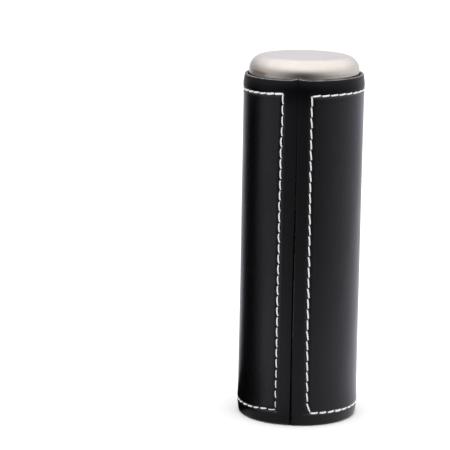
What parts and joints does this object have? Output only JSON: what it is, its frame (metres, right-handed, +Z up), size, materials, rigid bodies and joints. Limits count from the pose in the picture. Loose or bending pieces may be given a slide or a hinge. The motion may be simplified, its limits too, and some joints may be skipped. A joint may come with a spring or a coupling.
{
  "type": "leather dice cup",
  "caption": "Slim dice cup in stitched black leather over a felt-lined steel tube, with a lift-off domed steel lid; the dice are inside.",
  "frame": {"origin": "centre of the bottom edge of the leather sleeve, on the surface that the cup stands on", "axes": "+Z up along the cup, -Y towards the sleeve's seam, +X to the right when looking at the seam"},
  "size_m": [0.0488, 0.0484, 0.1469],
  "materials": {
    "leather": "smooth black leather, satin",
    "backing": "pale grey split leather, cut edge showing",
    "thread": "waxed off-white thread",
    "steel": "satin-brushed, rounded corner",
    "tube_steel": "drawn tube, plain",
    "felt": "dense black wool felt",
    "wood": "turned beech, bare",
    "rubber": "soft black rubber",
    "die": "ivory plastic with black painted pips"
  },
  "bodies": {
    "cup": {"leather_sleeve": "leather", "sleeve_backing": "backing", "stitch_row_top": "thread", "stitch_row_bottom": "thread", "stitch_row_seam_left": "thread", "stitch_row_seam_right": "thread", "core_tube": "tube_steel", "base_cap": "steel", "base_plug": "wood", "wall_lining": "felt", "floor_pad": "felt"},
    "lid": {"lid_cap": "steel", "lid_plug": "wood", "lid_seal": "rubber", "lid_pad": "felt"},
    "die_1": {"die_1": "die"},
    "die_2": {"die_2": "die"},
    "die_3": {"die_3": "die"},
    "die_4": {"die_4": "die"},
    "die_5": {"die_5": "die"}
  },
  "joints": [
    {"name": "lid_lift", "type": "slide", "parent": "cup", "child": "lid", "axis": [0, 0, 1], "range_m": [0, 0.06]},
    {"name": "die_1_lift", "type": "slide", "parent": "cup", "child": "die_1", "axis": [0, 0, 1], "range_m": [0, 0.095]},
    {"name": "die_2_lift", "type": "slide", "parent": "cup", "child": "die_2", "axis": [0, 0, 1], "range_m": [0, 0.095]},
    {"name": "die_3_lift", "type": "slide", "parent": "cup", "child": "die_3", "axis": [0, 0, 1], "range_m": [0, 0.095]},
    {"name": "die_4_lift", "type": "slide", "parent": "cup", "child": "die_4", "axis": [0, 0, 1], "range_m": [0, 0.095]},
    {"name": "die_5_lift", "type": "slide", "parent": "cup", "child": "die_5", "axis": [0, 0, 1], "range_m": [0, 0.095]}
  ]
}
